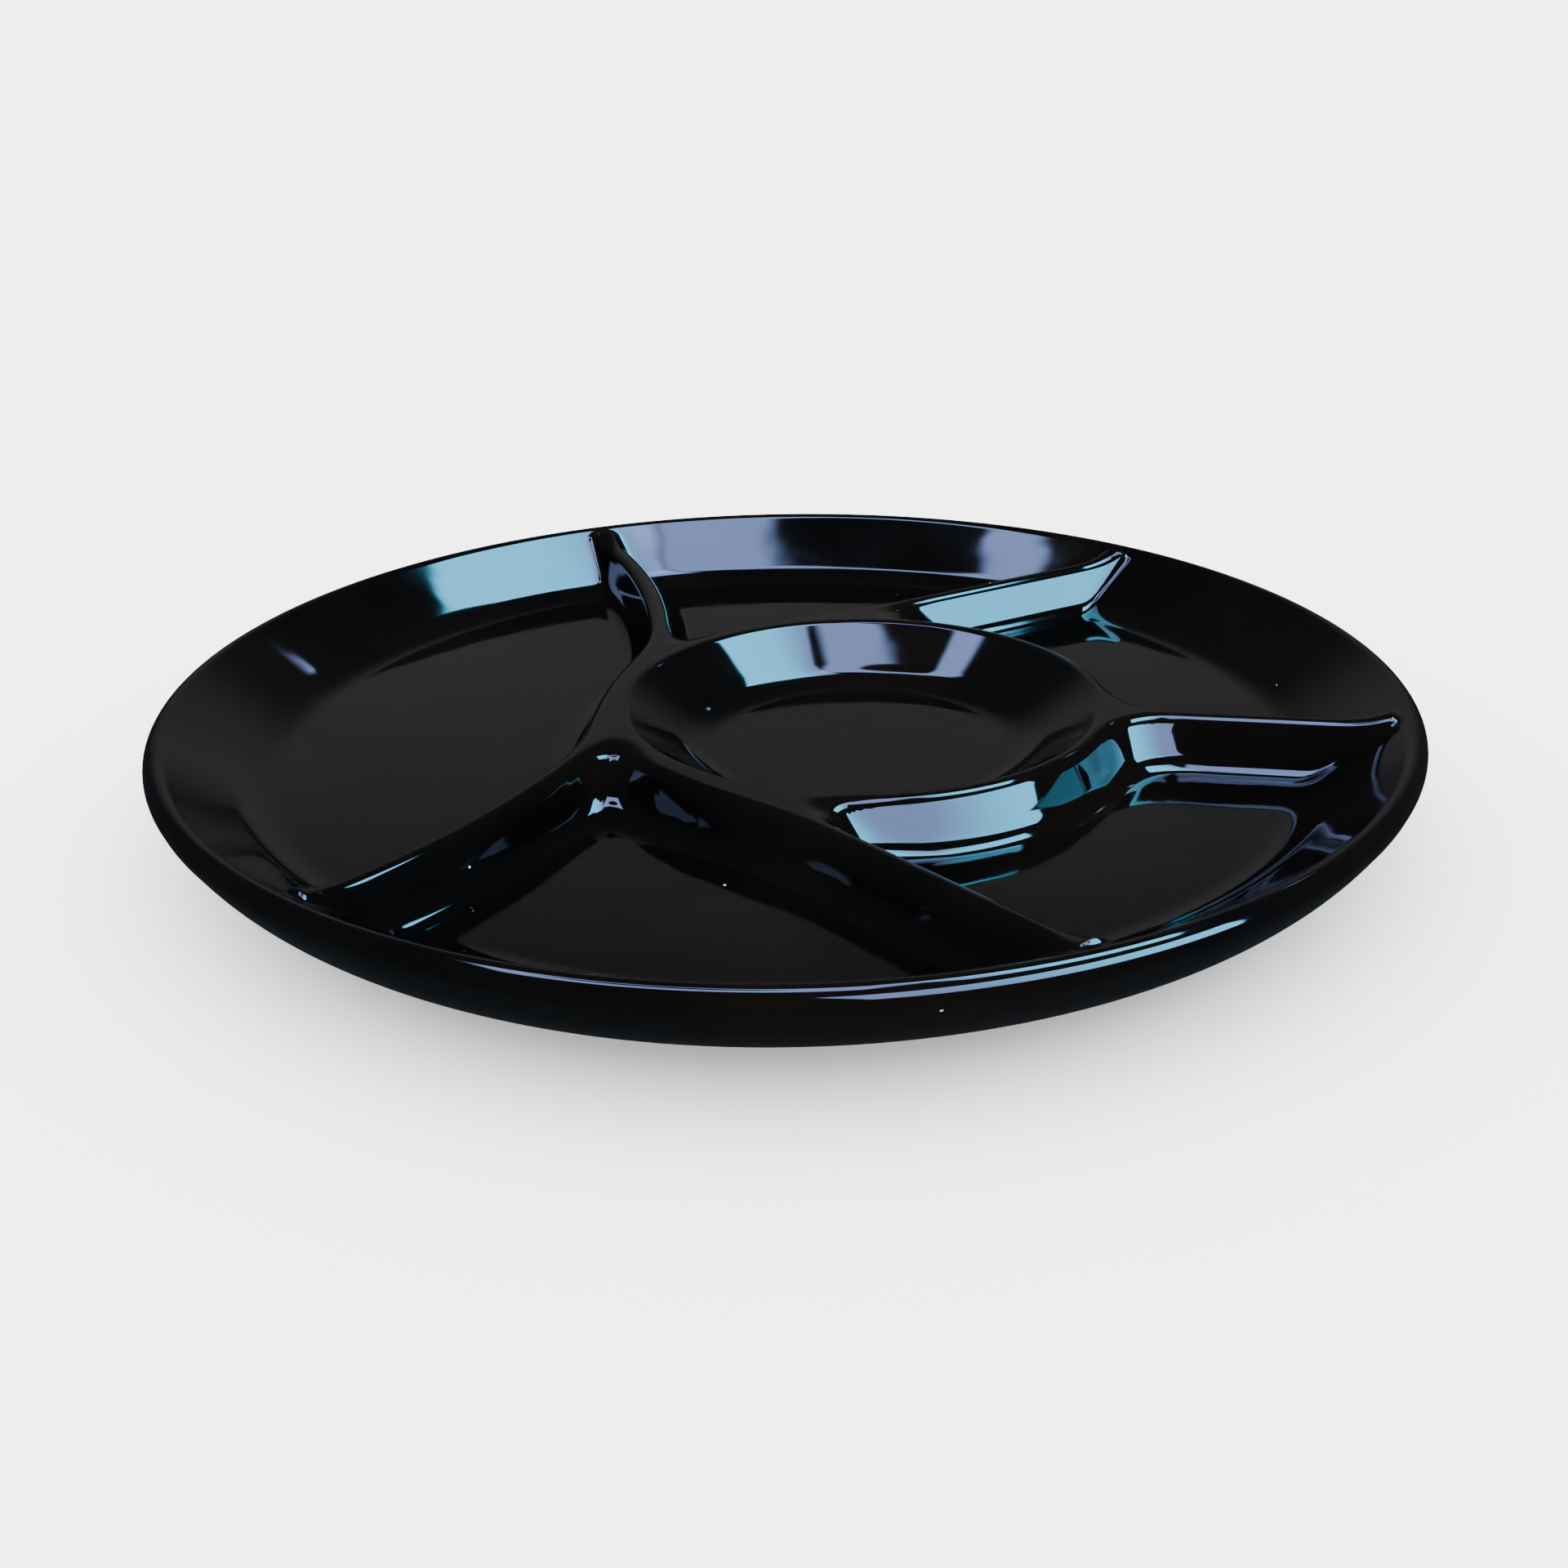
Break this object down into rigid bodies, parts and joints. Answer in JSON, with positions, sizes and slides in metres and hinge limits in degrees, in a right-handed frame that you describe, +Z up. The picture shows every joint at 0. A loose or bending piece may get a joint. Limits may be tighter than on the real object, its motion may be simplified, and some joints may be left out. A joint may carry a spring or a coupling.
{
  "type": "divided serving plate",
  "caption": "Round divided serving plate: an off-centre dip bowl with a raised wall, wells around it between raised dividers, a rounded lip and a bare foot ring.",
  "frame": {"origin": "centre of the foot ring's bearing face, at the bottom of the part", "axes": "+Z up; +X from the plate's centre through the dip bowl and the divider beyond it; the XZ plane is the plate's mirror plane, and -Y is the side towards the viewer"},
  "size_m": [0.25, 0.25, 0.024],
  "materials": {
    "stoneware": "bare fired clay, fine grit",
    "glaze": "deep gloss black glaze"
  },
  "bodies": {
    "root": {"foot_ring": "stoneware", "lip": "stoneware", "dip_bowl_floor": "stoneware", "dip_bowl_wall": "stoneware", "back_left_divider": "stoneware", "front_left_divider": "stoneware", "front_divider": "stoneware", "back_divider": "stoneware", "right_divider": "stoneware", "left_well_floor": "stoneware", "left_well_rim": "stoneware", "front_well_floor": "stoneware", "front_well_rim": "stoneware", "back_well_floor": "stoneware", "back_well_rim": "stoneware", "front_right_well_floor": "stoneware", "front_right_well_rim": "stoneware", "back_right_well_floor": "stoneware", "back_right_well_rim": "stoneware", "glaze": "glaze", "base_glaze": "glaze"}
  },
  "joints": []
}
